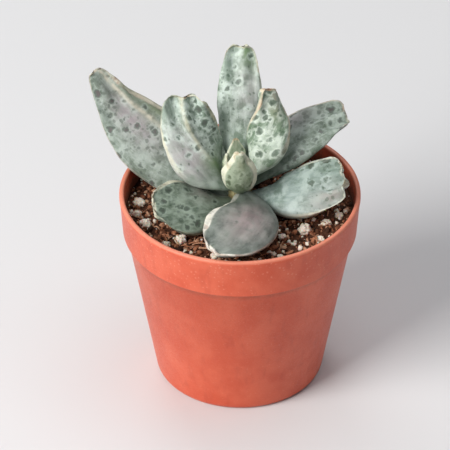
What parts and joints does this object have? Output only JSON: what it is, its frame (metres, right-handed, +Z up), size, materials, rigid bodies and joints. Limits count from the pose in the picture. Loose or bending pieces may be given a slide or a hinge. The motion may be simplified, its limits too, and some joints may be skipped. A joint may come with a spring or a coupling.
{
  "type": "potted succulent",
  "caption": "Speckled adromischus with thick grey-green leaves, wavy pale-edged tips and a short stem, in a small round tapered plastic nursery pot of dark soil with perlite.",
  "frame": {"origin": "The middle of the pot's flat underside, which it stands on; the base mount lies there.", "axes": "+Z points up along the pot's axis, +Y points away from the picture's camera, and +X points to its right."},
  "size_m": [0.0619, 0.055, 0.0739],
  "materials": {
    "pot_plastic": "satin terracotta-coloured plastic",
    "potting_soil": "loose dark peat with pale perlite",
    "stem_bark": "matt green-brown bark",
    "leaf_flesh": "waxy grey-green bloom with dark speckles",
    "young_leaf_flesh": "waxy yellow-green"
  },
  "bodies": {
    "root": {"pot": "pot_plastic", "soil": "potting_soil", "stem": "stem_bark", "leaf_back_tall": "leaf_flesh", "leaf_back_left": "leaf_flesh", "leaf_left_long": "leaf_flesh", "leaf_front_left": "leaf_flesh", "leaf_front": "leaf_flesh", "leaf_right": "leaf_flesh", "leaf_right_tall": "leaf_flesh", "leaf_right_back": "leaf_flesh", "leaf_back_low": "leaf_flesh", "young_leaf_front": "young_leaf_flesh", "young_leaf_back": "young_leaf_flesh", "young_leaf_left": "young_leaf_flesh"}
  },
  "joints": []
}
